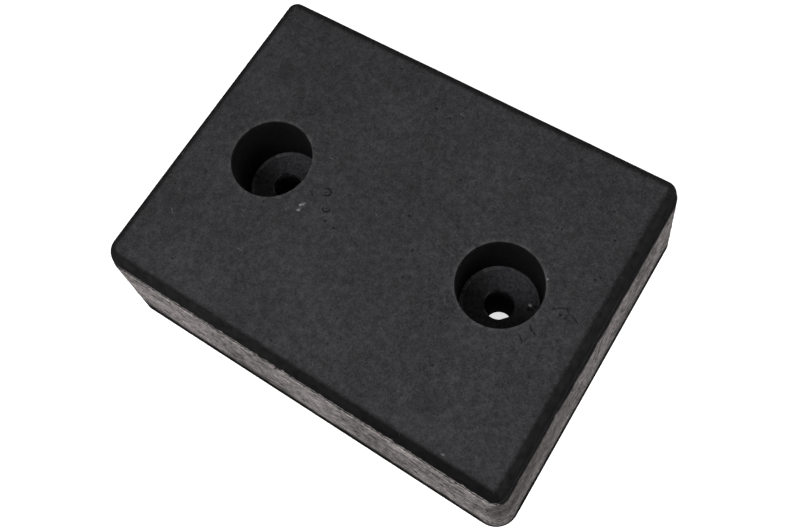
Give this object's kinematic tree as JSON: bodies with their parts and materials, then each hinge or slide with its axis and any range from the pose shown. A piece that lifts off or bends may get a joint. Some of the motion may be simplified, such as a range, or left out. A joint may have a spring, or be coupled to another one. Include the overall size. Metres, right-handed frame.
{
  "type": "loading dock bumper",
  "caption": "Thick moulded rubber loading-dock bumper with drafted sides, a rounded front edge, and counterbored bolt holes with steel washers moulded in.",
  "frame": {"origin": "centre of the back face, which goes against the wall", "axes": "+X along the long side, +Y along the short side, +Z out of the front face"},
  "size_m": [0.33, 0.254, 0.102],
  "materials": {
    "fibre_rubber": "matt moulded rubber with short fibres, dusty grey on the sides",
    "washer_steel": "dull steel stained black by the rubber"
  },
  "bodies": {
    "root": {"rubber_block": "fibre_rubber", "washer_left": "washer_steel", "washer_right": "washer_steel"}
  },
  "joints": []
}
